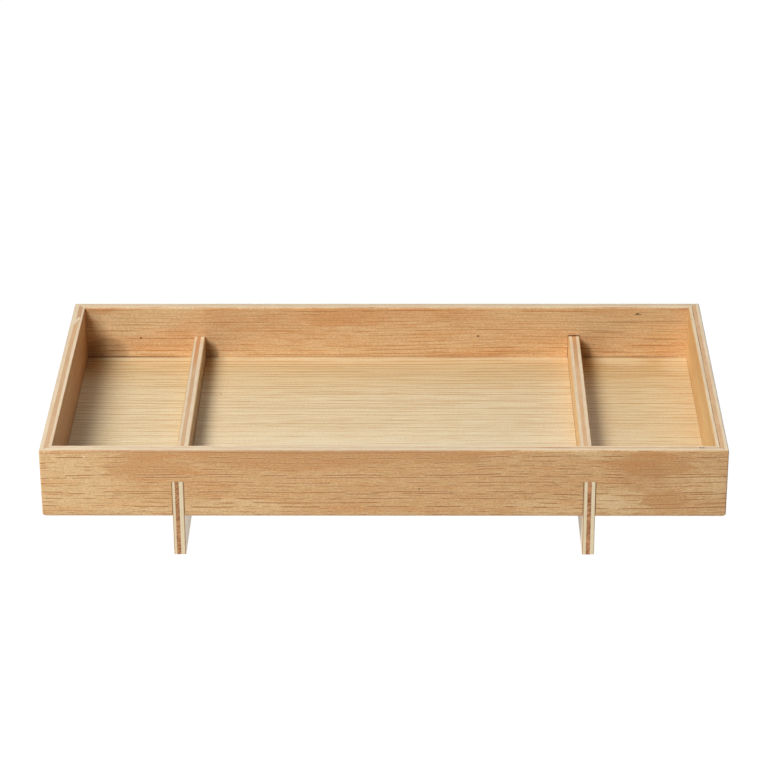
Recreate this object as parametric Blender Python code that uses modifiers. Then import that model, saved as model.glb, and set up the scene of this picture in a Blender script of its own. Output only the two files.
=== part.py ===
"""A wooden tray with three bays, carried on two cross boards.

Four mitred plywood walls hold a plywood floor, whose tongue sits in a groove round the inside
of the walls. Two cross boards come up through slots in the front and back walls and split the
floor in three. Above the floor they divide the bays, and below it they are the tray's feet.

All sizes are in metres and +Z is up. The origin lies under the middle of the tray, on the
surface that the feet stand on. The tray's length runs along X, and its front faces -Y.
"""

from math import cos, pi, radians, sin, sqrt

import bmesh
import bpy
from mathutils import Matrix, Vector

# Overall sizes
TRAY_LENGTH = 0.350
TRAY_DEPTH = 0.180
WALL_HEIGHT = 0.038
UNDERSIDE_HEIGHT = 0.022

# Every board is cut from the same plywood
BOARD_THICKNESS = 0.0063

# Cross boards: the middle of each lies this far in from the tray's end, and its top edge
# stands this far above the tray's underside
CROSS_BOARD_INSET = 0.070
CROSS_BOARD_RISE = 0.0204
CROSS_BOARD_EASE = 0.0005

# Walls
UNDERSIDE_ROUND = 0.0020
RIM_EASE = 0.0005
CORNER_ROUND = 0.0010

# Floor: it lies this far up inside the walls, and along each edge at a wall it has a tongue
# as long as the wall's groove is deep
FLOOR_RECESS = 0.0012
TONGUE_THICKNESS = 0.0030
GROOVE_DEPTH = 0.0030
FLOOR_EASE = 0.0002

# Fits
JOINT_GAP = 0.0003
SLOT_HEADROOM = 0.0005
SLOT_ROUND = 0.0007

# How far a cutter runs past what it cuts, and how close two points are one point
CUT_OVERRUN = 0.0020
WELD_REACH = 0.0000005

# Round edges: steps to a curve, and the turn between two faces that makes a sharp edge
ROUND_STEPS = 8
EASE_STEPS = 4
SHARP_EDGE = radians(40)
SMOOTH_EDGE = radians(30)

# Clear-finished oak, as each board's face shows it
FRONT_OAK = (0.58, 0.35, 0.17, 1.0)
BACK_OAK = (0.62, 0.36, 0.16, 1.0)
SIDE_OAK = (0.64, 0.39, 0.19, 1.0)
FLOOR_OAK = (0.75, 0.54, 0.30, 1.0)
CROSS_OAK = (0.69, 0.50, 0.29, 1.0)
FINISH_ROUGHNESS = 0.55

CROSS_BOARD_X = TRAY_LENGTH / 2 - CROSS_BOARD_INSET
TONGUE_DROP = (BOARD_THICKNESS - TONGUE_THICKNESS) / 2

# A wall's section is drawn with its thickness along X and its height along Y. This turn
# stands the section up, with its thickness along Y, and so lays the wall along X
STAND_SECTION_UP = Matrix(((0, 0, 1, 0), (1, 0, 0, 0), (0, 1, 0, 0), (0, 0, 0, 1)))


def clear_scene():
    for old in list(bpy.data.objects):
        bpy.data.objects.remove(old)


def new_collection(name, shown=True):
    collection = bpy.data.collections.new(name)
    collection.hide_render = not shown
    bpy.context.scene.collection.children.link(collection)
    return collection


def oak(name, colour):
    material = bpy.data.materials.new(name)
    material.use_nodes = True
    surface = material.node_tree.nodes["Principled BSDF"]
    surface.inputs["Base Color"].default_value = colour
    surface.inputs["Roughness"].default_value = FINISH_ROUGHNESS
    surface.inputs["Metallic"].default_value = 0.0
    return material


def arc(centre, radius, start, end, steps):
    """Points along an arc of a flat outline, from one angle to the other in degrees."""
    turns = [radians(start + (end - start) * i / steps) for i in range(steps + 1)]
    return [(centre[0] + radius * cos(turn), centre[1] + radius * sin(turn)) for turn in turns]


def outline_curve(name, outline, length):
    """A closed flat outline, filled and thickened evenly to both sides of its plane."""
    curve = bpy.data.curves.new(name, "CURVE")
    curve.dimensions = "2D"
    curve.fill_mode = "BOTH"
    curve.extrude = length / 2
    spline = curve.splines.new("POLY")
    spline.points.add(len(outline) - 1)
    for point, (x, y) in zip(spline.points, outline):
        point.co = (x, y, 0, 1)
    spline.use_cyclic_u = True
    return curve


def prism(name, outline, length, place, collection):
    """The solid of an outline curve, made a closed mesh so that it can cut and be cut."""
    shape = bpy.data.objects.new(f"{name}_outline", outline_curve(name, outline, length))
    collection.objects.link(shape)
    shape.matrix_world = place
    bpy.context.view_layer.update()
    graph = bpy.context.evaluated_depsgraph_get()
    mesh = bpy.data.meshes.new_from_object(shape.evaluated_get(graph))
    solid = bpy.data.objects.new(name, mesh)
    collection.objects.link(solid)
    solid.matrix_world = shape.matrix_world
    bpy.data.objects.remove(shape)
    work = bmesh.new()
    work.from_mesh(mesh)
    bmesh.ops.remove_doubles(work, verts=work.verts, dist=WELD_REACH)
    bmesh.ops.recalc_face_normals(work, faces=work.faces)
    work.to_mesh(mesh)
    work.free()
    return solid


def block(name, low, high, collection):
    """A box between two corners, with its origin at its middle."""
    low, high = Vector(low), Vector(high)
    bpy.ops.mesh.primitive_cube_add(size=1, location=(low + high) / 2)
    box = bpy.context.active_object
    box.name = name
    box.data.transform(Matrix.Diagonal((*(high - low), 1)))
    for other in list(box.users_collection):
        other.objects.unlink(box)
    collection.objects.link(box)
    return box


def combine(board, helper, operation):
    """Cuts a board with a helper, or joins the two, and shows the helper as wire only."""
    change = board.modifiers.new(helper.name, "BOOLEAN")
    change.operation = operation
    change.solver = "EXACT"
    change.object = helper
    helper.hide_render = True
    helper.display_type = "WIRE"


def ease_edges(board, radius):
    """Takes the sharpness off every edge of a board."""
    bevel = board.modifiers.new("eased_edges", "BEVEL")
    bevel.width = radius
    bevel.segments = EASE_STEPS
    bevel.limit_method = "ANGLE"
    bevel.angle_limit = SHARP_EDGE


def finish(board, colour, tray):
    board.data.materials.clear()
    board.data.materials.append(oak(f"{board.name}_oak", colour))
    board.data.shade_smooth()
    board.data.set_sharp_from_angle(angle=SMOOTH_EDGE)
    board.parent = tray


def wall_section():
    """A wall cut across: a round outer foot, an eased rim and the groove for the tongue."""
    inner, top = BOARD_THICKNESS, WALL_HEIGHT
    groove_low = FLOOR_RECESS + TONGUE_DROP - JOINT_GAP
    groove_high = FLOOR_RECESS + TONGUE_DROP + TONGUE_THICKNESS + JOINT_GAP
    groove_back = inner - GROOVE_DEPTH
    groove = [
        (inner, groove_low),
        (groove_back, groove_low),
        (groove_back, groove_high),
        (inner, groove_high),
    ]
    rim_inner = arc((inner - RIM_EASE, top - RIM_EASE), RIM_EASE, 0, 90, EASE_STEPS)
    rim_outer = arc((RIM_EASE, top - RIM_EASE), RIM_EASE, 90, 180, EASE_STEPS)
    foot = arc((UNDERSIDE_ROUND, UNDERSIDE_ROUND), UNDERSIDE_ROUND, 180, 270, ROUND_STEPS)
    return [(inner, 0), *groove, *rim_inner, *rim_outer, *foot]


def wall_plan(length):
    """A wall seen from above: its ends mitred, and the tray's corner rounded at each."""
    half = length / 2 - JOINT_GAP / sqrt(2)
    turn_in = half - CORNER_ROUND
    inside = BOARD_THICKNESS + CUT_OVERRUN
    corner = arc((turn_in, CORNER_ROUND), CORNER_ROUND, -90, -45, EASE_STEPS)
    right = [(turn_in, -CUT_OVERRUN), *corner, (half - inside, inside)]
    left = [(-x, y) for x, y in reversed(right)]
    return [*left, *right]


def slot_outline():
    """A wall's slot seen from the front: open below, with its upper corners rounded."""
    half = BOARD_THICKNESS / 2 + JOINT_GAP
    top = CROSS_BOARD_RISE + SLOT_HEADROOM
    corner = arc((half - SLOT_ROUND, top - SLOT_ROUND), SLOT_ROUND, 0, 90, EASE_STEPS)
    right = [(half, -CUT_OVERRUN), *corner]
    left = [(-x, y) for x, y in reversed(right)]
    return [*right, *left]


def make_wall(name, length, middle, heading, slots, parts, helpers):
    """A wall drawn with its outer face on y = 0 and its underside on z = 0, then turned
    about Z to its heading and moved to where the middle of its outer face goes."""
    place = Matrix.Translation((*middle, UNDERSIDE_HEIGHT)) @ Matrix.Rotation(heading, 4, "Z")
    board = prism(name, wall_section(), length + CUT_OVERRUN, place @ STAND_SECTION_UP, parts)
    halfway_up = place @ Matrix.Translation((0, 0, WALL_HEIGHT / 2))
    height = WALL_HEIGHT + CUT_OVERRUN
    mitres = prism(f"{name}_mitres", wall_plan(length), height, halfway_up, helpers)
    combine(board, mitres, "INTERSECT")
    for side, x in slots:
        across = Matrix.Translation((x, BOARD_THICKNESS / 2, 0)) @ Matrix.Rotation(pi / 2, 4, "X")
        through = BOARD_THICKNESS + CUT_OVERRUN
        slot = prism(f"{name}_slot_{side}", slot_outline(), through, place @ across, helpers)
        combine(board, slot, "DIFFERENCE")
    return board


def make_floor(name, left, right, left_tongue, right_tongue, parts, helpers):
    """A floor panel from x = left to x = right. Its tongue stands out by a given length at
    each end, and by its full length at the front and the back."""
    under = UNDERSIDE_HEIGHT + FLOOR_RECESS
    reach = TRAY_DEPTH / 2 - BOARD_THICKNESS - JOINT_GAP
    panel = block(name, (left, -reach, under), (right, reach, under + BOARD_THICKNESS), parts)
    ease_edges(panel, FLOOR_EASE)
    reach += GROOVE_DEPTH
    low = (left - left_tongue, -reach, under + TONGUE_DROP)
    high = (right + right_tongue, reach, under + TONGUE_DROP + TONGUE_THICKNESS)
    combine(panel, block(f"{name}_tongue", low, high, helpers), "UNION")
    return panel


def make_cross_board(name, x, parts):
    """A cross board from the surface below to its top edge, flush with both long walls."""
    half = BOARD_THICKNESS / 2
    reach = TRAY_DEPTH / 2
    top = UNDERSIDE_HEIGHT + CROSS_BOARD_RISE
    board = block(name, (x - half, -reach, 0), (x + half, reach, top), parts)
    ease_edges(board, CROSS_BOARD_EASE)
    return board


def make_walls(tray, parts, helpers):
    end, side = TRAY_LENGTH / 2, TRAY_DEPTH / 2
    slots = (("left", -CROSS_BOARD_X), ("right", CROSS_BOARD_X))
    walls = (
        ("front_wall", TRAY_LENGTH, (0, -side), 0, slots, FRONT_OAK),
        ("right_wall", TRAY_DEPTH, (end, 0), pi / 2, (), SIDE_OAK),
        ("back_wall", TRAY_LENGTH, (0, side), pi, slots, BACK_OAK),
        ("left_wall", TRAY_DEPTH, (-end, 0), -pi / 2, (), SIDE_OAK),
    )
    for name, length, middle, heading, cuts, colour in walls:
        finish(make_wall(name, length, middle, heading, cuts, parts, helpers), colour, tray)


def make_floors(tray, parts, helpers):
    """Three panels: the cross boards stand between them, with no tongue on that side."""
    at_wall = TRAY_LENGTH / 2 - BOARD_THICKNESS - JOINT_GAP
    outside_board = CROSS_BOARD_X + BOARD_THICKNESS / 2 + JOINT_GAP
    inside_board = CROSS_BOARD_X - BOARD_THICKNESS / 2 - JOINT_GAP
    tongue, no_tongue = GROOVE_DEPTH, -FLOOR_EASE
    panels = (
        ("floor_left", -at_wall, -outside_board, tongue, no_tongue),
        ("floor_centre", -inside_board, inside_board, no_tongue, no_tongue),
        ("floor_right", outside_board, at_wall, no_tongue, tongue),
    )
    for panel in panels:
        finish(make_floor(*panel, parts, helpers), FLOOR_OAK, tray)


def make_cross_boards(tray, parts):
    for side, x in (("left", -CROSS_BOARD_X), ("right", CROSS_BOARD_X)):
        finish(make_cross_board(f"cross_board_{side}", x, parts), CROSS_OAK, tray)


def build():
    clear_scene()
    parts = new_collection("divided_tray")
    helpers = new_collection("cutters", shown=False)
    tray = bpy.data.objects.new("tray", None)
    parts.objects.link(tray)
    make_walls(tray, parts, helpers)
    make_floors(tray, parts, helpers)
    make_cross_boards(tray, parts)


build()
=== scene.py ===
import math

import bmesh
import bpy
from bpy.props import FloatProperty, FloatVectorProperty, PointerProperty
from bpy.types import Operator, Panel, PropertyGroup
from mathutils import Matrix, Vector, noise


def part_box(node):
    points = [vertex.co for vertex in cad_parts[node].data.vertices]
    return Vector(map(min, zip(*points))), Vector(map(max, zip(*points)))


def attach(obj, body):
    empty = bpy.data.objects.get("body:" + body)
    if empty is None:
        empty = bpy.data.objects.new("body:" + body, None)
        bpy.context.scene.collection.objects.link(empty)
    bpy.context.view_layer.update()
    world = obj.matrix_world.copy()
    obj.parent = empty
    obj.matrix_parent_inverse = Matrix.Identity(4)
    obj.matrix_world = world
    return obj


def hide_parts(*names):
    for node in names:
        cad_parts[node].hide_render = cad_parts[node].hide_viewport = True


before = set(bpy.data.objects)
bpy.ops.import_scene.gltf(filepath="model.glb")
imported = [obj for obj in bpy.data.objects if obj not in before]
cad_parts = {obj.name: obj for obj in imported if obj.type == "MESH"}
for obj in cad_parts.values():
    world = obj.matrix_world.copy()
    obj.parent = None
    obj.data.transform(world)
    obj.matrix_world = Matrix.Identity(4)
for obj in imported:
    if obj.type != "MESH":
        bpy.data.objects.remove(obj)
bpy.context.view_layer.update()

bl_info = {
    "name": "Divided Oak Tray",
    "version": (1, 0, 0),
    "blender": (4, 5, 0),
    "location": "3D View > Sidebar > Tray",
    "description": "Builds a divided tray from veneered plywood boards and sets it on a studio floor",
    "category": "Object",
}

MM = 0.001

# How far a cutter runs past what it cuts, and how far apart the points of a ply line lie.
OVERRUN = 1.0 * MM
STATION = 2.5 * MM

# Steps in a small rounding, in a large one and round the studio floor.
EDGE_STEPS = 5
ROUND_STEPS = 8
FLOOR_STEPS = 96

# Edges that turn by more than these are eased, or stay sharp in the shading.
EASE_ANGLE = math.radians(40)
SHARP_ANGLE = math.radians(30)

# Each board's plies from its outer or left face inwards, and how far through the board each of them ends, as
# a share. The last one reaches the other face.
WALL_LAYERS = ("outer_veneer", "outer_ply", "core_ply", "inner_ply", "inner_veneer")
GLUED_LAYERS = ("outer_veneer", "outer_ply", "core_ply", "glue_line", "inner_ply", "inner_veneer")
CROSS_LAYERS = ("left_veneer", "left_ply", "core_ply", "right_ply", "right_veneer")
PLIES = {
    "front_wall": (WALL_LAYERS, (0.16, 0.54, 0.72, 0.93)),
    "back_wall": (WALL_LAYERS, (0.09, 0.24, 0.44, 0.8)),
    "left_wall": (WALL_LAYERS, (0.08, 0.35, 0.71, 0.94)),
    "right_wall": (GLUED_LAYERS, (0.09, 0.33, 0.66, 0.72, 0.94)),
    "cross_board_left": (CROSS_LAYERS, (0.07, 0.26, 0.6, 0.9)),
    "cross_board_right": (CROSS_LAYERS, (0.09, 0.33, 0.68, 0.95)),
}

# A ply line strays in a long wave and in a short one of less height, and less of both beside a face veneer.
# The steps keep the waves of different lines apart.
LONG_WAVE = 40 * MM
SHORT_WAVE = 6 * MM
SHORT_WAVE_SHARE = 0.5
STEADY_SHARE = 0.35
WAVE_STEP = 5.3
LINE_STEP = 7.7

# Where along the left wall its core is scarfed, and how far it steps inwards over the scarf's run.
SCARFS = {"left_wall": (-62 * MM, 0.5 * MM)}
NO_SCARF = (0.0, 0.0)
SCARF_RUN = 6 * MM

# How loosely a cross board fits its slot, as shares of the play and the headroom, and the fit of each long
# wall's slots from left to right as its outer face is seen.
SNUG = (0.25, 0.2)
CLOSE = (0.6, 0.3)
LOOSE = (0.65, 1.8)
SLOT_FITS = {"front_wall": (SNUG, CLOSE), "back_wall": (LOOSE, SNUG)}

FRONT_LOW, FRONT_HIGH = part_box("front_wall")
LEFT_LOW, LEFT_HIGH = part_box("left_wall")
CROSS_LOW, CROSS_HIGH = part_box("cross_board_left")
SLOT_AT = (CROSS_HIGH.x + CROSS_LOW.x) / 2
TRAY_LENGTH = -2 * LEFT_LOW.x
TRAY_DEPTH = -2 * FRONT_LOW.y

# A floor panel that ends nearer than this to a side wall's inner face is joined to it.
NEAR_WALL = 0.3 * MM


def setting(kind, **limits):
    """A maker of settings that a user may change, each with a name, a description and a default."""
    def make(name, description, default):
        return kind(name=name, description=description, default=default, **limits)
    return make


length = setting(FloatProperty, min=0.0, precision=5, subtype="DISTANCE", unit="LENGTH")
share = setting(FloatProperty, min=0.0, max=1.0, subtype="FACTOR")
amount = setting(FloatProperty, min=0.0)
power = setting(FloatProperty, min=0.0, unit="POWER")
angle = setting(FloatProperty, subtype="ANGLE", unit="ROTATION")
spot = setting(FloatVectorProperty, subtype="TRANSLATION", unit="LENGTH")
direction = setting(FloatVectorProperty, subtype="DIRECTION")
linear_colour = setting(FloatVectorProperty, size=4, min=0.0, max=1.0, subtype="COLOR")


def colour(name, description, *levels):
    """A colour setting, given by its sRGB levels from 0 to 255 and kept as linear light."""
    light = []
    for level in levels:
        part = level / 255
        light.append(part / 12.92 if part <= 0.04045 else ((part + 0.055) / 1.055) ** 2.4)
    return linear_colour(name, description, (*light, 1.0))


class TraySizes(PropertyGroup):
    """Sizes of the boards and of the joints between them."""

    board: length("Board", "Thickness of every board", FRONT_HIGH.y - FRONT_LOW.y)
    veneer: length("Veneer", "Thickness of the oak veneer on the floor's faces", 0.45 * MM)
    ply_wander: length("Ply Wander", "How far a ply line strays from straight", 0.2 * MM)
    rim_ease: length("Rim Ease", "Radius sanded along the rim", 0.5 * MM)
    underside_round: length("Underside Round", "Radius of the walls' lower outer edge", 2.0 * MM)
    corner_round: length("Corner Round", "Radius of the tray's upright corners", 1.0 * MM)
    foot_corner: length("Foot Corner", "Radius sanded on the tray's lower corners", 3.2 * MM)
    rim_corner: length("Rim Corner", "Radius sanded on the tray's upper corners", 0.8 * MM)
    mitre_gap: length("Mitre Gap", "Hairline left between two mitred walls", 0.03 * MM)
    slot_play: length("Slot Play", "Gap on each side of a cross board in its slot", 0.3 * MM)
    slot_headroom: length("Slot Headroom", "Gap above a cross board in its slot", 0.5 * MM)
    slot_round: length("Slot Round", "Radius in the slot's upper corners", 0.7 * MM)
    groove_depth: length("Groove Depth", "Depth of the walls' groove for the floor", 3.0 * MM)
    groove_height: length("Groove Height", "Height of the walls' groove for the floor", 3.6 * MM)
    tongue: length("Tongue", "Thickness of the floor's tongue", 3.0 * MM)
    floor_ease: length("Floor Ease", "Radius sanded along the floor's edges", 0.2 * MM)
    floor_snug: length("Floor Snug", "How far each floor panel is pushed into its joints", 0.24 * MM)
    board_ease: length("Board Ease", "Radius sanded along the cross boards' edges", 0.35 * MM)
    foot_ease: length("Foot Ease", "Radius sanded along the cross boards' lower edges", 0.9 * MM)


# The oaks: their names, where they show, and their pale and deep grounds.
OAKS = {
    "face": ("Wall Oak", "the walls' outer veneer", (235, 197, 144), (217, 164, 106)),
    "inner": ("Inner Oak", "the long walls' lining", (247, 214, 167), (235, 184, 131)),
    # The left lining is painted darker: painted shade for the left wall's inner face, which stands in the
    # soft box's shadow.
    "left": ("Left Lining", "the left wall's lining", (212, 170, 122), (194, 138, 92)),
    "right": ("Right Lining", "the right wall's lining", (232, 198, 138), (214, 163, 104)),
    "floor": ("Floor Oak", "the centre floor", (236, 219, 183), (229, 203, 157)),
    "left_floor": ("Left Floor", "the left floor", (229, 214, 178), (221, 195, 149)),
    "right_floor": ("Right Floor", "the right floor", (232, 212, 169), (224, 193, 141)),
    "cross": ("Cross Oak", "the cross boards' outward faces", (212, 182, 130), (198, 156, 102)),
    # The next two rows are painted shade and painted light: the left board's right face stands in the soft
    # box's shadow, and the right board's left face is painted paler where the soft box lights it.
    "painted_shade_side": ("Shaded Oak", "the left board's right face", (190, 160, 114), (176, 136, 88)),
    "painted_lit_side": ("Sunny Oak", "the right board's left face", (232, 200, 146), (218, 172, 116)),
}


class TrayFinish(PropertyGroup):
    """Colours and sheen of the oak and of the plies under it."""

    # The three foot colours are painted light: the cross boards' faces below the walls are painted pale, as
    # if lit from the white floor.
    foot_painted_light: colour("Foot Pale", "The cross boards' outward faces below the walls", 246, 232, 206)
    foot_painted_light_bright: colour("Foot Bright", "The left board's right face below the walls", 255, 248, 234)
    foot_soft: colour("Foot Soft", "The right board's left face below the walls", 230, 214, 188)
    pore_brown: colour("Pore Brown", "Ticks in the core plies and brown marks in the oak", 184, 122, 70)
    # This pale colour also paints the highlight beside each dash of pores.
    fleck: colour("Ray Fleck", "The pale flecks in the oak", 242, 214, 168)
    # This dark brown also paints the shadow in the back wall's lower corners.
    dark_mark_and_painted_shade: colour("Knot Brown", "Pin knots and dark specks", 96, 66, 44)
    oak_end: colour("Veneer End", "Cut end of the veneers", 176, 132, 94)
    rim_grey: colour("Veneer Edge", "Edge of the outer veneer along the rim", 207, 201, 190)
    ply_pale: colour("Pale Ply", "Edge of the pale plies", 227, 207, 175)
    # The bright ply colours are painted light: toward the right end, where the soft box's light falls off,
    # the pale plies are painted brighter.
    ply_bright: colour("Bright Ply", "Edge of the pale plies toward the right end", 244, 222, 186)
    ply_end: colour("Ply End", "Cut ends of the pale plies", 236, 219, 182)
    ply_end_bright: colour("Bright Ply End", "Cut ends of the pale plies at the right", 250, 233, 194)
    core_salmon: colour("Core Ply", "Edge of the left-hand boards' core ply", 207, 171, 132)
    core_salmon_deep: colour("Core Ply Deep", "Deep tone of the left-hand boards' core ply", 193, 152, 112)
    core_grey: colour("Core Grey", "Core ply of the long walls and of the floor", 222, 200, 168)
    core_warm: colour("Warm Core", "Edge of the right-hand boards' core ply", 230, 188, 142)
    core_warm_deep: colour("Warm Core Deep", "Deep tone of the right-hand boards' core", 212, 166, 120)
    core_brown: colour("Core Brown", "Dark streaks in the core ply's cut ends", 146, 94, 54)
    core_cut: colour("Core Cut", "Cut ends of the core ply", 202, 148, 100)
    # The right cross board's brighter core cut is painted light, for the weaker light on its end.
    core_cut_painted_bright: colour("Core Cut Bright", "Cut ends of the right cross board's core", 220, 158, 110)
    glue: colour("Glue Line", "Dark line of glue beside the right wall's core", 175, 142, 112)
    satin: share("Satin", "Roughness of the lacquered oak", 0.46)
    pore_depth: length("Pore Depth", "Depth of the open pores", 0.08 * MM)


for key, (name, place, light, deep) in OAKS.items():
    TrayFinish.__annotations__[f"{key}_light"] = colour(f"{name} Light", f"Pale ground of {place}", *light)
    TrayFinish.__annotations__[f"{key}_deep"] = colour(f"{name} Deep", f"Warm ground of {place}", *deep)


class TrayStage(PropertyGroup):
    """The floor, the light and the camera."""

    floor_white: share("Floor White", "How white the studio floor is", 0.86)
    floor_reach: length("Floor Reach", "Distance from the tray to the floor's edge", 6.0)
    floor_glow: amount("Floor Glow", "Brightness of the floor outside the shadow", 1.07)
    shadow: share("Shadow", "How much of the tray's shadow shows on the floor", 0.07)
    bounce: share("Bounce", "How much light the floor throws up at the tray", 0.25)
    fill: share("Fill", "Strength of the light from all round", 0.015)
    key_watts: power("Key Light", "Power of the soft box at the upper left", 30.4)
    key_side: length("Key Size", "Side of the soft box", 0.77)
    key_distance: length("Key Distance", "Distance from the tray to the soft box", 1.7)
    key_from: direction("Key Direction", "Direction from the tray to the soft box", (-0.65, -0.5, 1.0))
    back_watts: power("Back Light", "Power of the soft box behind the tray", 4.2)
    back_side: length("Back Size", "Side of the soft box behind the tray", 1.0)
    back_distance: length("Back Distance", "Distance from the tray to the soft box behind it", 1.8)
    back_from: direction("Back Direction", "Direction to the soft box behind the tray", (0.25, 0.9, 1.0))
    camera_at: spot("Camera Place", "Where the camera stands", (0.017, -1.4222, 0.7518))
    camera_heading: angle("Camera Heading", "Turn of the camera to the left of +Y", math.radians(0.71))
    camera_tilt: angle("Camera Tilt", "Turn of the camera up from straight down", math.radians(63.86))
    camera_roll: angle("Camera Roll", "Turn of the camera about its line of sight", math.radians(-0.3))
    camera_reach: length("Camera Reach", "How far the camera sees", 50.0)
    lens: amount("Lens", "Focal length of the camera in millimetres", 138.89)
    film_width: amount("Film Width", "Width of the camera's film in millimetres", 36.0)


# Clouds of noise: length and height in millimetres, finer layers, and what is added to the seed. The grain
# gives the lengths of fibre, speckle and patch.
NOISE = {
    "drift": (130, 45, 1, 0), "ripple": (26, 7, 1, 3.7), "fibre": (0, 0, 2, 60), "speckle": (0, 0, 1, 70),
    "patch": (0, 0, 2, 80), "fleck": (5, 0.6, 1, 90), "wander": (9, 2.6, 2, 95), "waver": (13, 4, 2, 97),
    "rosy": (38, 3.2, 2, 110), "ply_streak": (18, 0.5, 2, 0), "ply_blotch": (9, 4, 2, 9),
    "ply_tick": (1.1, 0.3, 1, 17), "core_blotch": (14, 6, 3, 0), "core_tick": (0.8, 0.4, 1, 8),
    "core_nick": (2.2, 0.7, 1, 5), "cut_fibre": (0.8, 5, 1, 3), "cut_tone": (3, 9, 1, 6),
}

# Where a cloud starts to show as spots, and where the spots are full.
SPOTS = {
    "speckle": (0.35, 0.65), "fleck": (0.58, 0.74), "rosy": (0.48, 0.7), "ply_tick": (0.62, 0.74),
    "core_tick": (0.58, 0.74), "core_nick": (0.5, 0.7),
}

# A dash of pores, in shares of its row's height: how far its middle strays, how much of the named width it
# fills, and its half width where it fades. Then the faintest depth, and the steps from seed to seed.
DASH_STRAY = 0.3
DASH_FULL = 0.7
DASH_THIN = 0.02
DASH_FAINTEST = 0.25
DASH_DEPTH_STEP = 11.5
ROW_STEP = 7.31

# How fast a dash fades in along its row, and where its edge and its painted highlight lie, in half widths.
DASH_FADE = 0.16
DASH_EDGE = (0.45, 1.05)
LIP_HIGHLIGHT_START = (0.9, 1.5)
LIP_HIGHLIGHT_END = (1.8, 2.8)

# Three sizes of dashes, as shares of the grain's spacing, reach and width, with how far their rows are
# moved, how much fewer are drawn, and what is added to the seed.
BROAD_DASHES = (1, 1, 1, 0, 0, 0)
MIDDLE_DASHES = (0.61, 0.6, 0.75, 1.3, 0.06, 20)
FINE_DASHES = (0.41, 0.35, 0.6, 0.4, 0.06, 40)

# How far the edges of the paler and deeper areas stray, along the grain and across it, in millimetres.
FIGURE_STRAY = (22, 8)

# Where the ground turns from pale to deep, where pores gather, and where flecks give way, by tone.
GROUND_TONE = (0.3, 0.7)
PORE_TONE = (0.3, 0.75)
FLECK_TONE = (0.5, 0.2)

# How squarely a surface faces up or along the board where it counts as rim or end, at first and in full.
RIM_TURN = (0.45, 0.85)
END_TURN = (0.6, 0.9)

# The share of a mark that is full, on a veneer and on a core ply.
VENEER_MARK = 0.35
CORE_MARK = 0.1

# A cross board's foot is painted pale, painted light from the white floor, which fades in from this many
# times the height of the walls' lower edge.
PAINTED_FOOT_LIGHT_FADE = 1.2

# Where along the tray, in millimetres, the pale plies turn from plain to bright: painted light that makes
# up for the soft box's light falling off toward the right end.
PAINTED_LIGHT_FROM = -60
PAINTED_LIGHT_FULL_AT = 175

# How strongly each feature of a veneer shows in its colour, its roughness and its relief.
OAK = {
    "flecks": 0.8, "lip_highlights": 0.7, "rim": 0.8, "end": 0.8, "foot": 0.9, "rough_pores": 0.14,
    "rough_fibre": 0.12, "raised_fibre": 0.3, "sunk_pores": 0.4, "sunk_speckle": 0.2,
}

# The same for the edges of the pale plies and of the core plies. Lean is how much the marks slant, tone is
# where the ground turns from pale to deep, calm is how much less shade the cut ends have, and rougher is
# added to the roughness.
PALE = {
    "lean": 0.8, "streaks": 0.5, "blotches": 0.5, "tone": (0.36, 0.66), "shade": 0.4, "ticks": 0.12,
    "calm": 0.6, "rough": 0.1, "rougher": 0.06, "relief": 0.6,
}
CORE = {
    "lean": 0.9, "tone": (0.32, 0.68), "blotches": 0.5, "nicks": 0.4, "slant": 0.7, "fibre": 0.75,
    "cloud": 0.25, "cut": (0.4, 0.6), "ticks": 0.3, "sunk_nicks": 0.5, "sunk_ticks": 0.4, "sunk_cut": 0.4,
    "rough": 0.1, "rougher": 0.1,
}

WHITE = (1.0, 1.0, 1.0, 1.0)
LACQUER_IOR = 1.45

# The kinds of grain. Lengths are in millimetres, and patch, fibre and speckle are a length and a height.
# Pore, speck and the rosy tint multiply the ground, gather is how much pores follow the deeper wood, and
# lip is how strong the painted highlight beside the dashes is.
ROSY = (1.0, 0.88, 0.78, 1.0)
GRAIN = {
    "flecked": {
        "spacing": 2.4, "reach": 15, "width": 0.42, "start": 0.4, "drift": 6, "ripple": 0.8,
        "broad": 0.98, "middle": 0.66, "fine": 0.45, "patch": (60, 9), "patch_share": 0.2,
        "fibre": (7, 0.5), "fibre_share": 0.7, "pore": (0.62, 0.38, 0.2, 1), "lip_highlight": 0.45, "rosy": 0.9,
        "gather": -0.7, "speckle": (1.3, 0.5), "speck": (0.84, 0.8, 0.74, 1),
    },
    "streaked": {
        "spacing": 2.1, "reach": 42, "width": 0.34, "start": 0.38, "drift": 6, "ripple": 0.6,
        "broad": 1.05, "middle": 0.8, "fine": 0.6, "patch": (80, 8), "patch_share": 0.3,
        "fibre": (9, 0.5), "fibre_share": 0.7, "pore": (0.67, 0.42, 0.23, 1), "lip_highlight": 0.35, "rosy": 0.7,
        "gather": 0, "speckle": (1.3, 0.5), "speck": (0.85, 0.81, 0.75, 1),
    },
    "straight": {
        "spacing": 3.5, "reach": 75, "width": 0.5, "start": 0.34, "drift": 6, "ripple": 0.8,
        "broad": 0.95, "middle": 0.8, "fine": 0.4, "patch": (120, 9), "patch_share": 0.25,
        "fibre": (14, 0.85), "fibre_share": 0.7, "pore": (0.66, 0.49, 0.32, 1), "lip_highlight": 0.3, "rosy": 0.4,
        "gather": 0.6, "speckle": (1.3, 0.9), "speck": (0.93, 0.91, 0.88, 1),
    },
    "quiet": {
        "spacing": 2.8, "reach": 40, "width": 0.38, "start": 0.42, "drift": 5, "ripple": 0.6,
        "broad": 0.42, "middle": 0.32, "fine": 0.25, "patch": (70, 10), "patch_share": 0.4,
        "fibre": (14, 0.4), "fibre_share": 0.4, "pore": (0.6, 0.4, 0.27, 1), "lip_highlight": 0.1, "rosy": 0.3,
        "gather": 0, "speckle": (1.3, 0.5), "speck": (0.94, 0.92, 0.89, 1),
    },
}

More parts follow.
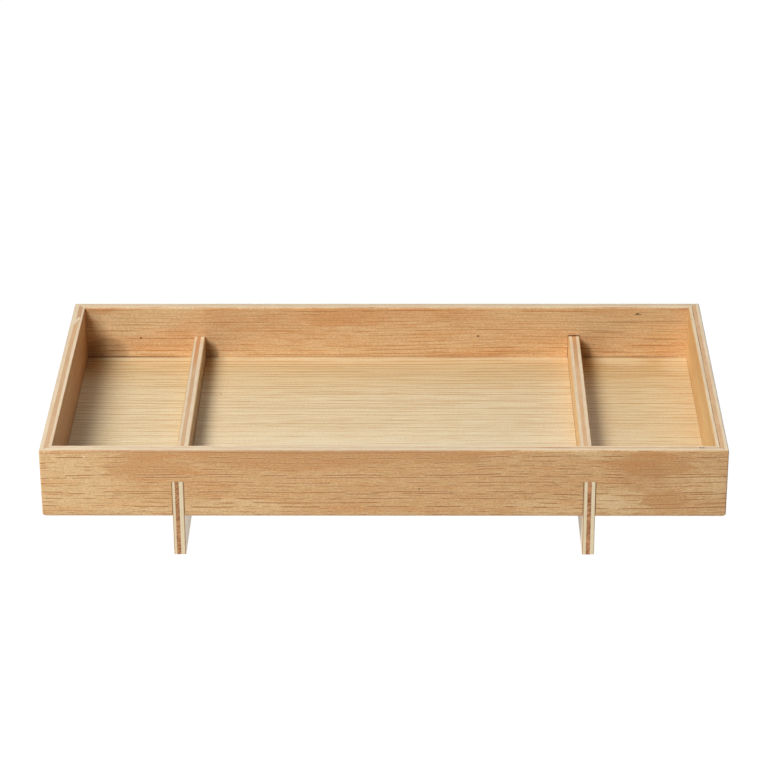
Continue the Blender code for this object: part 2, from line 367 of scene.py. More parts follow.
# Areas of a face where the wood is paler, below 0, or deeper. Each row has its place along the grain and
# across it, half its length and height, all in millimetres, and how much it changes the tone.
FRONT_FIGURE = (
    (-170, 42, 44, 22, -0.3), (-122, 49, 30, 7, 0.22), (-120, 57, 20, 4, 0.25), (-45, 57, 70, 8, 0.3),
    (-76, 28, 34, 7, -0.25), (-130, 27, 28, 6, -0.25), (-173, 40, 10, 9, -0.15), (32, 58, 28, 5, 0.25),
    (82, 28, 24, 6, -0.3), (136, 51.5, 24, 7.5, 0.8), (144, 33, 15, 6, 0.5), (116, 31, 20, 9, -0.8),
    (104, 57, 12, 3, -0.3), (165, 40, 14, 9, -0.2),
)
BACK_FIGURE = (
    (-42, 32, 46, 5, -0.25), (30, 54, 30, 8, 0.08), (-22, 54, 32, 8, 0.2), (52, 31.5, 34, 4.5, 0.2),
    (84, 54, 28, 9, -0.2), (-118, 57, 18, 5, -0.3), (60, 46, 140, 16, -0.12), (146, 49, 40, 12, -0.4),
    (-145, 50, 34, 10, -0.3), (-156, 58.6, 14, 1.2, 0.5), (0, 30, 400, 7, -0.12),
)
# On the floor, the deeper tone toward the back and the paler tone toward the front are painted shade and
# painted reflection: the back wall's warm reflection and the shade near it, and the white room mirrored
# further forward. The two rows at the back of the right bay are painted light over its shade, and one row
# makes the floor paler along the back wall's foot.
FLOOR_PAINTED_REFLECTION_AND_SHADE = (
    (0, 95, 320, 60, 0.25), (0, 84, 500, 8, -0.25), (0, -100, 320, 110, -0.3), (164, 73, 14, 16, -0.25),
    (132, 78, 20, 9, -0.25),
)

# Marks on a face: specks, lines, stains and painted shadow in the corners, where the walls' shade falls.
# Each row has its place and half sizes as above, its colour, and how strong it is.
FRONT_MARKS = (
    (18.1, 38.3, 0.7, 0.45, "dark_mark_and_painted_shade", 0.8), (130.9, 29.7, 0.6, 0.45, "dark_mark_and_painted_shade", 0.55),
    (170.2, 55, 0.6, 0.4, "dark_mark_and_painted_shade", 0.5), (-152, 56.6, 0.8, 0.6, "fleck", 0.9),
    (-65, 60.2, 140, 1.7, "oak_end", 0.5), (131, 46, 16, 11, "pore_brown", 0.22),
    (115, 31, 9, 5, "fleck", 0.3),
)
# The four broad dark rows at the lower corners, beside the left wall and to the right of both dividers, are
# painted shadow.
BACK_MARKS_AND_PAINTED_SHADE = (
    (140.3, 56.4, 1, 0.9, "dark_mark_and_painted_shade", 0.8), (141.4, 56, 1.7, 0.6, "dark_mark_and_painted_shade", 0.6),
    (139.4, 55.9, 1.2, 0.5, "dark_mark_and_painted_shade", 0.6), (-138.2, 41.5, 0.75, 0.65, "dark_mark_and_painted_shade", 1.0),
    (-138, 29.8, 32, 0.7, "dark_mark_and_painted_shade", 0.45), (-167, 40, 11, 26, "dark_mark_and_painted_shade", 0.22),
    (-158, 31, 15, 13, "dark_mark_and_painted_shade", 0.32), (-99.5, 31, 5.5, 10, "dark_mark_and_painted_shade", 0.42),
    (111, 31, 5, 10, "dark_mark_and_painted_shade", 0.42), (0, 30, 101, 0.9, "oak_end", 0.35),
    (138, 29.8, 32, 0.7, "dark_mark_and_painted_shade", 0.35), (51.3, 42.7, 1.1, 0.55, "dark_mark_and_painted_shade", 0.9),
    (138, 50, 38, 15, "fleck", 0.1), (124, 33.2, 14, 0.8, "pore_brown", 0.45),
    (124, 45.1, 13, 0.7, "pore_brown", 0.45), (153, 40.6, 12, 0.7, "pore_brown", 0.45),
    (146, 51.7, 28, 0.7, "pore_brown", 0.4), (150, 36.8, 20, 0.7, "pore_brown", 0.35),
)
FLOOR_MARKS = ((-90.7, 37, 0.5, 0.7, "dark_mark_and_painted_shade", 0.7),)

# Marks on the edge of a core ply: the pale joint and deeper wood at the left wall's scarf, the brown
# stretch and pin holes of the front wall, and the orange ends of the cross boards.
SCARF_MARKS = (
    (79, -172, 16, 6, "core_salmon_deep", 1.0), (50, -172, 20, 8, "core_warm_deep", 0.6),
    (64.5, -172.7, 2.6, 1.2, "ply_pale", 1.0), (67, -171.8, 2.6, 1.2, "ply_pale", 1.0),
    (69.5, -170.9, 2.6, 1.2, "ply_pale", 1.0),
)
FRONT_CORE_MARKS = (
    (112, -86, 72, 8, "core_warm_deep", 0.95), (87.5, -86, 11, 4, "pore_brown", 0.7),
    (160.8, -85.9, 0.8, 1, "dark_mark_and_painted_shade", 1.0), (162.4, -85.9, 0.7, 0.9, "dark_mark_and_painted_shade", 0.9),
)
LEFT_CROSS_MARKS = ((70, -105, 32, 9, "core_cut", 1.0), (-70, -105, 30, 9, "core_cut", 0.6))
RIGHT_CROSS_MARKS = ((70, 105, 32, 9, "core_cut", 0.6),)

# What each board's plies look like. Axes name the way along the grain, across it and through the board.
# Lining names an oak, outer and inner are the figure and marks of a wall's faces, and left and right name
# the oak of a cross board's faces and their colour below the walls. The left board's right face is painted
# darker as painted shade, the right board's left face paler as painted light, and the colour below the
# walls is painted light from the white floor.
GREY_CORE = ("core_grey", "core_salmon")
SALMON_CORE = ("core_salmon", "core_salmon_deep")
WARM_CORE = ("core_warm", "core_warm_deep")
WALL_LOOKS = {
    "front_wall": {
        "seed": 11.0, "axes": "XZY", "kind": "streaked", "lining": "inner", "core": GREY_CORE,
        "core_marks": FRONT_CORE_MARKS, "outer": (FRONT_FIGURE, FRONT_MARKS),
    },
    "back_wall": {
        "seed": 23.0, "axes": "XZY", "kind": "streaked", "lining": "inner", "core": GREY_CORE,
        "inner": (BACK_FIGURE, BACK_MARKS_AND_PAINTED_SHADE),
    },
    "left_wall": {
        "seed": 37.0, "axes": "YZX", "kind": "quiet", "lining": "left", "core": SALMON_CORE,
        "core_marks": SCARF_MARKS,
    },
    "right_wall": {"seed": 41.0, "axes": "YZX", "kind": "quiet", "lining": "right", "core": WARM_CORE},
}
CROSS_LOOKS = {
    "cross_board_left": {
        "seed": 61.0, "left": ("cross", "foot_painted_light"), "right": ("painted_shade_side", "foot_painted_light_bright"),
        "core": SALMON_CORE, "marks": LEFT_CROSS_MARKS, "cut": ("core_cut", "core_brown"),
    },
    "cross_board_right": {
        "seed": 67.0, "left": ("painted_lit_side", "foot_soft"), "right": ("cross", "foot_painted_light"),
        "core": WARM_CORE, "marks": RIGHT_CROSS_MARKS, "cut": ("core_cut_painted_bright", "core_brown"),
    },
}
FLOOR_OAKS = {"floor_left": "left_floor", "floor_centre": "floor", "floor_right": "right_floor"}

# What each ply of a wall adds to the board's seed, and the seeds of the ply lines and of the floor's plies.
WALL_SEEDS = {
    "outer_veneer": 0, "outer_ply": 1.3, "core_ply": 2.1, "glue_line": 2.9, "inner_ply": 4.4,
    "inner_veneer": 6.2,
}
WALL_LINE_SEED = 3.1
FLOOR_TOP_SEED = 51.0
FLOOR_CORE_SEED = 52.0
FLOOR_UNDER_SEED = 58.0


class Shade:
    """A socket of a finish's nodes. Arithmetic on it adds Math nodes, so a finish reads as sums."""

    def __init__(self, finish, socket):
        self.finish = finish
        self.socket = socket

    def math(self, operation, *others):
        return self.finish.node("Math", {"operation": operation}, (self, *others))

    def __add__(self, other):
        return self.math("ADD", other)

    def __sub__(self, other):
        return self.math("SUBTRACT", other)

    def __rsub__(self, other):
        return self.finish.node("Math", {"operation": "SUBTRACT"}, (other, self))

    def __mul__(self, other):
        return self.math("MULTIPLY", other)

    def __truediv__(self, other):
        return self.math("DIVIDE", other)

    def __abs__(self):
        return self.math("ABSOLUTE")


class Finish:
    """The nodes of a material or of the world while they are made."""

    def __init__(self, holder):
        self.holder = holder
        self.holder.use_nodes = True
        self.tree = holder.node_tree
        self.tree.nodes.clear()

    def node(self, kind, settings, inputs, output=0):
        made = self.tree.nodes.new(f"ShaderNode{kind}")
        for key, value in settings.items():
            setattr(made, key, value)
        pairs = inputs.items() if isinstance(inputs, dict) else enumerate(inputs)
        for key, value in pairs:
            if isinstance(value, Shade):
                self.tree.links.new(value.socket, made.inputs[key])
            else:
                made.inputs[key].default_value = value
        return Shade(self, made.outputs[output])

    def millimetres(self):
        """The place on the piece as three values in millimetres, by axis."""
        place = self.node("TexCoord", {}, {}, "Object")
        scaled = self.node("VectorMath", {"operation": "SCALE"}, {"Vector": place, "Scale": 1 / MM})
        return {axis: self.node("SeparateXYZ", {}, (scaled,), axis) for axis in "XYZ"}

    def facing(self, axis, turn):
        """1 where the surface faces along one axis, and 0 where it turns away."""
        normal = self.node("TexCoord", {}, {}, "Normal")
        return self.smooth(abs(self.node("SeparateXYZ", {}, (normal,), axis)), *turn)

    def smooth(self, value, low, high):
        """0 below low, 1 above high, with a soft step between."""
        inputs = {"Value": value, "From Min": low, "From Max": high}
        return self.node("MapRange", {"interpolation_type": "SMOOTHSTEP"}, inputs)

    def soft_noise(self, run, rise, seed, detail=1.0):
        """Soft noise around 0.5 over two coordinates."""
        place = self.node("CombineXYZ", {}, (run, rise, seed))
        return self.node("TexNoise", {}, {"Vector": place, "Scale": 1.0, "Detail": detail})

    def cloud(self, name, run, rise, seed, size=None):
        """A named cloud of noise over two places in millimetres."""
        span, height, detail, step = NOISE[name]
        if size:
            span, height = size
        return self.soft_noise(run / span, rise / height, seed + step, detail)

    def spots(self, name, run, rise, seed, size=None):
        """The places where a named cloud is thick, from 0 to 1."""
        return self.smooth(self.cloud(name, run, rise, seed, size), *SPOTS[name])

    def chance(self, row, seed):
        """One even random value from 0 to 1 for each whole row."""
        place = self.node("CombineXYZ", {}, (row, seed, 0.0))
        return self.node("TexWhiteNoise", {"noise_dimensions": "2D"}, {"Vector": place})

    def mix(self, settings, factor, first, second):
        """A Mix node for colours. Its sockets 0, 6 and 7 are the factor and the two colours."""
        return self.node("Mix", {"data_type": "RGBA", **settings}, {0: factor, 6: first, 7: second}, 2)

    def blend(self, factor, first, second):
        """The first colour where factor is 0 and the second where it is 1."""
        return self.mix({}, factor, first, second)

    def stain(self, factor, base, dye):
        """The base multiplied by a dye's colour, as far as factor says."""
        return self.mix({"blend_type": "MULTIPLY"}, factor, base, dye)

    def dashes(self, run, rings, grain, shares, seed):
        """Tapered dashes in uneven rows along the grain, and the painted highlights beside them."""
        spacing, reach, width, moved, fewer, step = shares
        spacing = grain["spacing"] * spacing
        start = grain["start"] + fewer
        seed = seed + step
        rows = (rings + moved) / spacing
        row = rows.math("FLOOR")
        middle = self.chance(row, seed) * (2 * DASH_STRAY) - DASH_STRAY
        depth = self.chance(row, seed + DASH_DEPTH_STEP) * (1.0 - DASH_FAINTEST) + DASH_FAINTEST
        gaps = self.soft_noise(run / (grain["reach"] * reach), row * ROW_STEP, seed)
        present = self.smooth(gaps, start, start + DASH_FADE)
        half = present * (grain["width"] * width / spacing) * DASH_FULL + DASH_THIN
        away = abs(rows - row - 0.5 - middle) / half
        line = 1.0 - self.smooth(away, *DASH_EDGE)
        lip_highlight = self.smooth(away, *LIP_HIGHLIGHT_START) * (1.0 - self.smooth(away, *LIP_HIGHLIGHT_END))
        return line * present * depth, lip_highlight * present * depth

    def oval(self, run, rise, at_run, at_rise, half_run, half_rise, core):
        """1 inside one oval and 0 outside it. The edge is softer for a smaller core."""
        across = (run - at_run) / half_run
        up = (rise - at_rise) / half_rise
        return 1.0 - self.smooth(across * across + up * up, core, 1.0)

    def mark(self, base, run, rise, marks, core):
        """The base colour with a table of marks drawn on it."""
        for *place, name, strength in marks:
            inside = self.oval(run, rise, *place, core)
            base = self.blend(inside * strength, base, tint(name))
        return base

    def surface(self, base, roughness, height, depth):
        """Ends the finish in a lacquered surface with this colour, roughness and relief."""
        normal = self.node("Bump", {}, {"Distance": depth, "Height": height}, "Normal")
        inputs = {"Base Color": base, "Roughness": roughness, "Normal": normal, "IOR": LACQUER_IOR}
        return self.output(self.node("BsdfPrincipled", {}, inputs))

    def output(self, surface, kind="Material"):
        """Joins the last shader to the output, and returns what holds the nodes."""
        made = self.tree.nodes.new(f"ShaderNodeOutput{kind}")
        self.tree.links.new(surface.socket, made.inputs["Surface"])
        return self.holder


def tint(name):
    """One of the finish's colours, by name."""
    return tuple(getattr(bpy.context.scene.tray_finish, name))


def oak(name, axes, kind, ground, seed, figure=(), marks=(), rim=False, foot=None):
    """Lacquered oak veneer with its grain along the first axis. Rim greys its upper edge, and foot names
    the pale colour painted below the walls, painted light from the white floor."""
    look = bpy.context.scene.tray_finish
    grain = GRAIN[kind]
    gather = grain["gather"]
    wood = Finish(bpy.data.materials.new(name))
    places = wood.millimetres()
    run, rise = places[axes[0]], places[axes[1]]
    drift = wood.cloud("drift", run, rise, seed)
    ripple = wood.cloud("ripple", run, rise, seed)
    rings = rise + (drift - 0.5) * grain["drift"] + (ripple - 0.5) * grain["ripple"]
    broad, broad_lip_highlights = wood.dashes(run, rings, grain, BROAD_DASHES, seed)
    middle, middle_lip_highlights = wood.dashes(run, rings, grain, MIDDLE_DASHES, seed)
    fine, _ = wood.dashes(run, rings, grain, FINE_DASHES, seed)
    fibre = wood.cloud("fibre", run, rings, seed, grain["fibre"])
    speckle = wood.spots("speckle", run, rings, seed, grain["speckle"])
    patch = wood.cloud("patch", run, rings, seed, grain["patch"])
    tone = (patch - 0.5) * grain["patch_share"] + (fibre - 0.5) * grain["fibre_share"] + 0.5
    if figure:
        wander = (wood.cloud("wander", run, rings, seed) - 0.5) * FIGURE_STRAY[0]
        waver = (wood.cloud("waver", run, rings, seed) - 0.5) * FIGURE_STRAY[1]
    for *place, change in figure:
        tone = tone + wood.oval(run + wander, rings + waver, *place, 0.0) * change
    base = wood.blend(wood.smooth(tone, *GROUND_TONE), tint(f"{ground}_light"), tint(f"{ground}_deep"))
    flecks = wood.spots("fleck", run, rings, seed) * wood.smooth(tone, *FLECK_TONE)
    rosy = wood.spots("rosy", run, rings, seed)
    base = wood.stain(rosy * grain["rosy"], base, ROSY)
    # Painted highlights beside the dashes of pores, as if lit along their edges, join the real ray flecks.
    lip_highlights = (broad_lip_highlights + middle_lip_highlights * OAK["lip_highlights"]).math("MINIMUM", 1.0)
    pale = (flecks * OAK["flecks"] + lip_highlights * grain["lip_highlight"]).math("MINIMUM", 1.0)
    base = wood.blend(pale, base, tint("fleck"))
    lines = broad * grain["broad"] + middle * grain["middle"] + fine * grain["fine"]
    gathered = wood.smooth(tone, *PORE_TONE) * gather + (1.0 - gather / 2)
    lines = (lines * gathered).math("MINIMUM", 1.0)
    base = wood.stain(speckle, base, grain["speck"])
    base = wood.stain(lines, base, grain["pore"])
    if rim:
        base = wood.blend(wood.facing("Z", RIM_TURN) * OAK["rim"], base, tint("rim_grey"))
    end = wood.facing(axes[0], END_TURN)
    base = wood.blend(end * OAK["end"], base, tint("oak_end"))
    # Below the walls a cross board's face is painted pale, painted light from the white floor.
    if foot:
        below = wood.smooth(places["Z"], FRONT_LOW.z * PAINTED_FOOT_LIGHT_FADE / MM, FRONT_LOW.z / MM)
        base = wood.blend(below * (1.0 - end) * OAK["foot"], base, tint(foot))
    base = wood.mark(base, run, rise, marks, VENEER_MARK)
    roughness = lines * OAK["rough_pores"] + (fibre - 0.5) * OAK["rough_fibre"] + look.satin
    height = fibre * OAK["raised_fibre"] - lines * OAK["sunk_pores"] - speckle * OAK["sunk_speckle"]
    return wood.surface(base, roughness, height, look.pore_depth)


def pale_ply(name, axes, seed):
    """The sanded edge of a pale ply, with faint streaks along the board."""
    look = bpy.context.scene.tray_finish
    wood = Finish(bpy.data.materials.new(name))
    places = wood.millimetres()
    run = places[axes[0]]
    rise = places[axes[1]] + places[axes[2]] * PALE["lean"]
    streaks = wood.cloud("ply_streak", run, rise, seed)
    blotches = wood.cloud("ply_blotch", run, rise, seed)
    ticks = wood.spots("ply_tick", run, rise, seed)
    tone = streaks * PALE["streaks"] + blotches * PALE["blotches"]
    shade = wood.smooth(tone, *PALE["tone"]) * PALE["shade"] + ticks * PALE["ticks"]
    end = wood.facing(axes[0], RIM_TURN)
    # The pale plies are painted brighter toward the right, painted light for the soft box's light falling
    # off there.
    painted_light_toward_right = wood.smooth(places["X"], PAINTED_LIGHT_FROM, PAINTED_LIGHT_FULL_AT)
    edge = wood.blend(painted_light_toward_right, tint("ply_pale"), tint("ply_bright"))
    cut = wood.blend(painted_light_toward_right, tint("ply_end"), tint("ply_end_bright"))
    base = wood.blend(end, edge, cut)
    base = wood.blend(shade * (1.0 - end * PALE["calm"]), base, tint("core_salmon"))
    roughness = streaks * PALE["rough"] + (look.satin + PALE["rougher"])
    return wood.surface(base, roughness, streaks, look.pore_depth * PALE["relief"])


def core_ply(name, axes, ground, seed, marks=(), cut=("core_cut", "core_brown")):
    """The sanded edge of a core ply, with short marks along the rim and slanting cut fibres at the ends."""
    look = bpy.context.scene.tray_finish
    wood = Finish(bpy.data.materials.new(name))
    places = wood.millimetres()
    run, rise, side = (places[axis] for axis in axes)
    spread = rise + side * CORE["lean"]
    blotches = wood.cloud("core_blotch", run, spread, seed)
    ticks = wood.spots("core_tick", run, spread, seed)
    nicks = wood.spots("core_nick", run, spread, seed)
    shade = wood.smooth(blotches, *CORE["tone"]) * CORE["blotches"] + nicks * CORE["nicks"]
    edge = wood.mark(wood.blend(shade, *map(tint, ground)), run, side, marks, CORE_MARK)
    fibre = wood.cloud("cut_fibre", rise - side * CORE["slant"], rise + side, seed)
    tone = wood.cloud("cut_tone", side, rise, seed)
    slant = wood.smooth(fibre * CORE["fibre"] + tone * CORE["cloud"], *CORE["cut"])
    end = wood.facing(axes[0], RIM_TURN)
    base = wood.blend(end, edge, wood.blend(slant, *map(tint, cut)))
    base = wood.blend(ticks * CORE["ticks"], base, tint("pore_brown"))
    sunk = 1.0 - nicks * CORE["sunk_nicks"] - ticks * CORE["sunk_ticks"]
    height = sunk - slant * end * CORE["sunk_cut"]
    roughness = blotches * CORE["rough"] + (look.satin + CORE["rougher"])
    return wood.surface(base, roughness, height, look.pore_depth)


def new_piece(name, work):
    """Turns finished mesh work into a named object."""
    bmesh.ops.recalc_face_normals(work, faces=work.faces)
    mesh = bpy.data.meshes.new(name)
    work.to_mesh(mesh)
    work.free()
    piece = bpy.data.objects.new(name, mesh)
    bpy.context.scene.collection.objects.link(piece)
    return piece


def arc(middle, radius, start, end, steps):
    """Points along part of a circle, with the angles in degrees."""
    turns = [math.radians(start + (end - start) * step / steps) for step in range(steps + 1)]
    return [(middle[0] + radius * math.cos(turn), middle[1] + radius * math.sin(turn)) for turn in turns]


def skin(name, rings):
    """A solid through a row of rings of points, closed at both ends."""
    work = bmesh.new()
    rings = [[work.verts.new(point) for point in ring] for ring in rings]
    work.faces.new(rings[0])
    work.faces.new(rings[-1])
    for ring, following in zip(rings, rings[1:]):
        for here in range(len(ring)):
            after = (here + 1) % len(ring)
            work.faces.new((ring[here], ring[after], following[after], following[here]))
    return new_piece(name, work)


def prism(name, outline, axis, low, high):
    """A solid with this outline, carried along one axis from low to high."""
    order = {"X": (2, 0, 1), "Y": (0, 2, 1), "Z": (0, 1, 2)}[axis]
    return skin(name, [[[(*point, level)[k] for k in order] for point in outline] for level in (low, high)])


def block(name, low, high):
    """A solid between two corners."""
    outline = [(low[0], low[1]), (high[0], low[1]), (high[0], high[1]), (low[0], high[1])]
    return prism(name, outline, "Z", low[2], high[2])


def settle(piece):
    """Turns a piece's modifiers into its mesh."""
    graph = bpy.context.evaluated_depsgraph_get()
    mesh = bpy.data.meshes.new_from_object(piece.evaluated_get(graph))
    old = piece.data
    piece.modifiers.clear()
    piece.data = mesh
    bpy.data.meshes.remove(old)
    mesh.name = piece.name


def carve(piece, helper, operation):
    """Cuts, trims or joins a piece by a helper solid, and drops the helper."""
    change = piece.modifiers.new(helper.name, "BOOLEAN")
    change.operation = operation
    change.solver = "EXACT"
    change.object = helper
    settle(piece)
    bpy.data.objects.remove(helper)
    if not piece.data.polygons:
        raise RuntimeError(f"nothing is left of {piece.name}")


def slice_off(board, name, cutter):
    """A new piece: the part of a board that lies inside a cutter."""
    piece = bpy.data.objects.new(name, board.data.copy())
    piece.data.name = piece.name
    bpy.context.scene.collection.objects.link(piece)
    carve(piece, cutter, "INTERSECT")
    return piece


def ease(piece, radius, steps):
    """Rounds a piece's sharp edges."""
    bevel = piece.modifiers.new("eased_edges", "BEVEL")
    bevel.width = radius
    bevel.segments = steps
    bevel.limit_method = "ANGLE"
    bevel.angle_limit = EASE_ANGLE
    settle(piece)


def ply_line(middle, wander, seed, scarf):
    """Where a ply line lies across a board, by place along it. Past a scarf it steps inwards."""
    scarf_at, scarf_step = scarf

    def line(x):
        slow = noise.noise(Vector((x / LONG_WAVE, seed, 0.0)))
        quick = noise.noise(Vector((x / SHORT_WAVE, seed + WAVE_STEP, 0.0)))
        step = scarf_step * min(1.0, max(0.0, (scarf_at - x) / SCARF_RUN))
        return middle + wander * (slow + SHORT_WAVE_SHARE * quick) + step
    return line


def layer_block(name, near, far, first, last, low, high):
    """A block between two ply lines, from first to last along the board."""
    count = max(2, round((last - first) / STATION))
    stations = [first + (last - first) * step / count for step in range(count + 1)]
    corners = ((near, low), (far, low), (far, high), (near, high))
    return skin(name, [[(x, line(x), level) for line, level in corners] for x in stations])


def dress(piece, material, node):
    """Gives a piece its finish and its place in the tray."""
    piece.data.materials.clear()
    piece.data.materials.append(material)
    for face in piece.data.polygons:
        face.material_index = 0
    piece.data.shade_smooth()
    piece.data.set_sharp_from_angle(angle=SHARP_ANGLE)
    even = piece.modifiers.new("even_normals", "WEIGHTED_NORMAL")
    even.keep_sharp = True
    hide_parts(node)
    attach(piece, "root")


def split_into_plies(board, node, half, low, high, place, seed):
    """Slices a finished board into its plies, and moves them to their place in the tray."""
    sizes = bpy.context.scene.tray_sizes
    layers, ends = PLIES[node]
    ply_lines = [lambda x: -OVERRUN]
    for number, (layer, end) in enumerate(zip(layers, ends)):
        steady = "veneer" in layer or number == len(ends) - 1
        wander = sizes.ply_wander * (STEADY_SHARE if steady else 1.0)
        scarf = NO_SCARF if steady else SCARFS.get(node, NO_SCARF)
        ply_lines.append(ply_line(sizes.board * end, wander, seed + LINE_STEP * number, scarf))
    ply_lines.append(lambda x: sizes.board + OVERRUN)
    reach = half + OVERRUN
    pieces = []
    for layer, near, far in zip(layers, ply_lines, ply_lines[1:]):
        cutter = layer_block("layer_helper", near, far, -reach, reach, low - OVERRUN, high + OVERRUN)
        piece = slice_off(board, f"{node}_{layer}", cutter)
        piece.data.transform(place)
        pieces.append(piece)
    bpy.data.objects.remove(board)
    return pieces


def wall_section(sizes, low, high):
    """A wall cut across: outer face on y = 0, with its rounded underside, groove and sanded rim."""
    board, foot, rim = sizes.board, sizes.underside_round, sizes.rim_ease
    panel_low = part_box("floor_centre")[0].z
    groove_middle = panel_low + sizes.board / 2
    groove_low = groove_middle - sizes.groove_height / 2
    groove_high = groove_middle + sizes.groove_height / 2
    groove_back = board - sizes.groove_depth
    groove = [(board, groove_low), (groove_back, groove_low), (groove_back, groove_high)]
    rim_inner = arc((board - rim, high - rim), rim, 0, 90, EDGE_STEPS)
    rim_outer = arc((rim, high - rim), rim, 90, 180, EDGE_STEPS)
    underside = arc((foot, low + foot), foot, 180, 270, ROUND_STEPS)
    return [*underside, (board, low), *groove, (board, groove_high), *rim_inner, *rim_outer]


def mirrored(right, middle=0.0):
    """A whole outline from its right half, which runs from the lower end to the upper one."""
    return [(middle + x, y) for x, y in right] + [(middle - x, y) for x, y in reversed(right)]


def wall_plan(sizes, extent):
    """The outline that trims a wall's ends to their mitres and rounds the tray's corners."""
    half = extent / 2 - sizes.mitre_gap / math.sqrt(2)
    turn_in = half - sizes.corner_round
    inside = sizes.board + OVERRUN
    corner = arc((turn_in, sizes.corner_round), sizes.corner_round, -90, -45, EDGE_STEPS)
    return mirrored([(turn_in, -OVERRUN), *corner, (half - inside, inside)])


def corner_outline(half, low, high, lower_round, upper_round):
    """An upright oblong with rounded lower and upper corners, reaching half its width to each side."""
    lower = arc((half - lower_round, low + lower_round), lower_round, -90, 0, ROUND_STEPS)
    upper = arc((half - upper_round, high - upper_round), upper_round, 0, 90, EDGE_STEPS)
    return mirrored(lower + upper)


def slot_outline(sizes, middle, play, low, top):
    """The notch that a cross board stands in, drawn on a wall's face."""
    half = sizes.board / 2 + play
    round_off = sizes.slot_round
    corner = arc((half - round_off, top - round_off), round_off, 0, 90, EDGE_STEPS)
    return mirrored([(half, low - OVERRUN), *corner], middle)


def make_wall(node, extent, place, seed):
    """One mitred wall, sliced into plies."""
    sizes = bpy.context.scene.tray_sizes
    low, high = FRONT_LOW.z, FRONT_HIGH.z
    half = extent / 2
    through = ("Y", -OVERRUN, sizes.board + OVERRUN)
    board = prism(f"{node}_board", wall_section(sizes, low, high), "X", -half - OVERRUN, half + OVERRUN)
    plan = wall_plan(sizes, extent)
    carve(board, prism("mitre_helper", plan, "Z", low - OVERRUN, high + OVERRUN), "INTERSECT")
    outline = corner_outline(half, low, high, sizes.foot_corner, sizes.rim_corner)
    carve(board, prism("corner_helper", outline, *through), "INTERSECT")
    for middle, (beside, above) in zip((SLOT_AT, -SLOT_AT), SLOT_FITS.get(node, ())):
        top = CROSS_HIGH.z + sizes.slot_headroom * above
        outline = slot_outline(sizes, middle, sizes.slot_play * beside, low, top)
        carve(board, prism("slot_helper", outline, *through), "DIFFERENCE")
    return split_into_plies(board, node, half, low, high, place, seed)


def make_cross_board(node, seed):
    """One cross board with sanded edges, sliced into plies."""
    sizes = bpy.context.scene.tray_sizes
    low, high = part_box(node)
    half = (high.y - low.y) / 2
    board = block(f"{node}_board", (-half, 0.0, low.z), (half, sizes.board, high.z))
    ease(board, sizes.board_ease, EDGE_STEPS)
    foot, middle = sizes.foot_ease, sizes.board / 2
    right = [*arc((middle - foot, low.z + foot), foot, -90, 0, ROUND_STEPS), (middle, high.z + OVERRUN)]
    outline = mirrored(right, middle)
    carve(board, prism("foot_helper", outline, "X", -half - OVERRUN, half + OVERRUN), "INTERSECT")
    place = Matrix.Translation((low.x, 0.0, 0.0)) @ Matrix.Rotation(math.radians(-90), 4, "Z")
    return split_into_plies(board, node, half, low.z, high.z, place, seed)


def make_floor_panel(node):
    """One floor panel with its tongue, sliced into a core and two veneers."""
    sizes = bpy.context.scene.tray_sizes
    low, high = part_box(node)
    inner = LEFT_HIGH.x + NEAR_WALL
    left_tongue = sizes.groove_depth if low.x < inner else 0.0
    right_tongue = sizes.groove_depth if high.x > -inner else 0.0
    snug = sizes.floor_snug
    front, back = low.y + sizes.groove_depth - snug, high.y - sizes.groove_depth
    left, right = low.x + left_tongue - snug, high.x - right_tongue + snug
    if not (left_tongue or right_tongue):
        back += snug
    panel = block(f"{node}_board", (left, front, low.z), (right, back, high.z))
    ease(panel, sizes.floor_ease, EDGE_STEPS)
    middle = (low.z + high.z) / 2
    hidden = sizes.floor_ease
    tongue_low = (low.x + (0.0 if left_tongue else hidden), low.y, middle - sizes.tongue / 2)
    tongue_high = (high.x - (0.0 if right_tongue else hidden), high.y, middle + sizes.tongue / 2)
    carve(panel, block("tongue_helper", tongue_low, tongue_high), "UNION")
    levels = (low.z - OVERRUN, low.z + sizes.veneer, high.z - sizes.veneer, high.z + OVERRUN)
    pieces = []
    for layer, under, over in zip(("under_veneer", "core_ply", "top_veneer"), levels, levels[1:]):
        corner = (low.x - OVERRUN, low.y - OVERRUN, under)
        far_corner = (high.x + OVERRUN, high.y + OVERRUN, over)
        pieces.append(slice_off(panel, f"{node}_{layer}", block("layer_helper", corner, far_corner)))
    bpy.data.objects.remove(panel)
    return pieces


def wall_finishes(node):
    """The finish of each of a wall's plies, by layer name."""
    look = WALL_LOOKS[node]
    axes = look["axes"]
    seeds = {layer: look["seed"] + step for layer, step in WALL_SEEDS.items()}
    finishes = {
        "outer_veneer": oak(
            f"{node}_outer_oak", axes, "flecked", "face", seeds["outer_veneer"], *look.get("outer", ()),
            rim=node != "front_wall",
        ),
        "core_ply": core_ply(
            f"{node}_core_ply", axes, look["core"], seeds["core_ply"], look.get("core_marks", ())
        ),
        "inner_veneer": oak(
            f"{node}_inner_oak", axes, look["kind"], look["lining"], seeds["inner_veneer"],
            *look.get("inner", ()),
        ),
    }
    for layer in ("outer_ply", "inner_ply"):
        finishes[layer] = pale_ply(f"{node}_{layer}", axes, seeds[layer])
    if "glue_line" in PLIES[node][0]:
        finishes["glue_line"] = core_ply(f"{node}_glue", axes, ("glue", "core_brown"), seeds["glue_line"])
    return finishes


def finish_pieces(pieces, finishes, node):
    """Dresses every piece of a board in the finish of its layer."""
    for piece in pieces:
        layer = piece.name[len(node) + 1:]
        dress(piece, finishes[layer], node)


